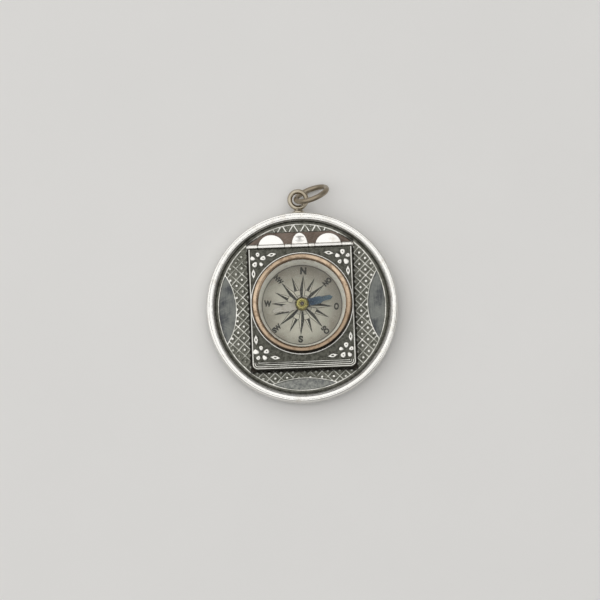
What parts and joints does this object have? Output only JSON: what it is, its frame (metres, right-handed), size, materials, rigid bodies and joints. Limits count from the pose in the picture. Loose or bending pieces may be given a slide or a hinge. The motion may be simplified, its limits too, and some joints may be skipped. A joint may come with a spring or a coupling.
{
  "type": "pendant compass",
  "caption": "Round pendant case with a compass set in a hinged rectangular leaf, a bail loop and a free jump ring.",
  "frame": {"origin": "centre of the case's flat back", "axes": "+Z out of the dial, square to the back; +Y towards the bail, square to the leaf's hinge; +X to the dial's right, along the hinge"},
  "size_m": [0.038, 0.0439, 0.0072],
  "materials": {
    "polished_silver": "polished silver, lightly worn",
    "oxidised_silver": "embossed silver, dark in the recesses and bright on the ridges",
    "copper": "rubbed copper",
    "brass": "polished brass",
    "tinned_brass": "dull tinned brass",
    "steel": "hardened and ground",
    "blued_steel": "one half blued, the other polished",
    "glass": "clear flat glass",
    "paper": "printed card, aged",
    "jewel": "polished dark red bearing stone"
  },
  "bodies": {
    "case": {"case_rim": "polished_silver", "case_back": "polished_silver", "front_plate": "oxidised_silver", "hinge_lug_left": "polished_silver", "hinge_lug_middle": "polished_silver", "hinge_lug_right": "polished_silver", "hinge_pin": "polished_silver", "bail_collar": "polished_silver", "bail_loop": "polished_silver"},
    "leaf": {"leaf_frame": "oxidised_silver", "compass_cup": "copper", "compass_bezel": "copper", "compass_glass": "glass", "chapter_ring": "tinned_brass", "dial_card": "paper", "pivot_post": "brass", "pivot_point": "steel"},
    "needle": {"compass_needle": "blued_steel", "needle_cap": "brass", "cap_jewel": "jewel"},
    "ring": {"jump_ring": "polished_silver"}
  },
  "joints": [
    {"name": "leaf_hinge", "type": "hinge", "parent": "case", "child": "leaf", "pos_m": [0, 0.01225, 0.0046], "axis": [-1, 0, 0], "range_deg": [0, 105]},
    {"name": "needle_spin", "type": "hinge", "parent": "leaf", "child": "needle", "pos_m": [0, 0.0005, 0.00535], "axis": [0, 0, 1], "continuous": true},
    {"name": "ring_swing", "type": "hinge", "parent": "case", "child": "ring", "pos_m": [0, 0.02181, 0.00275], "axis": [0, 0, 1], "range_deg": [-35, 165]}
  ]
}
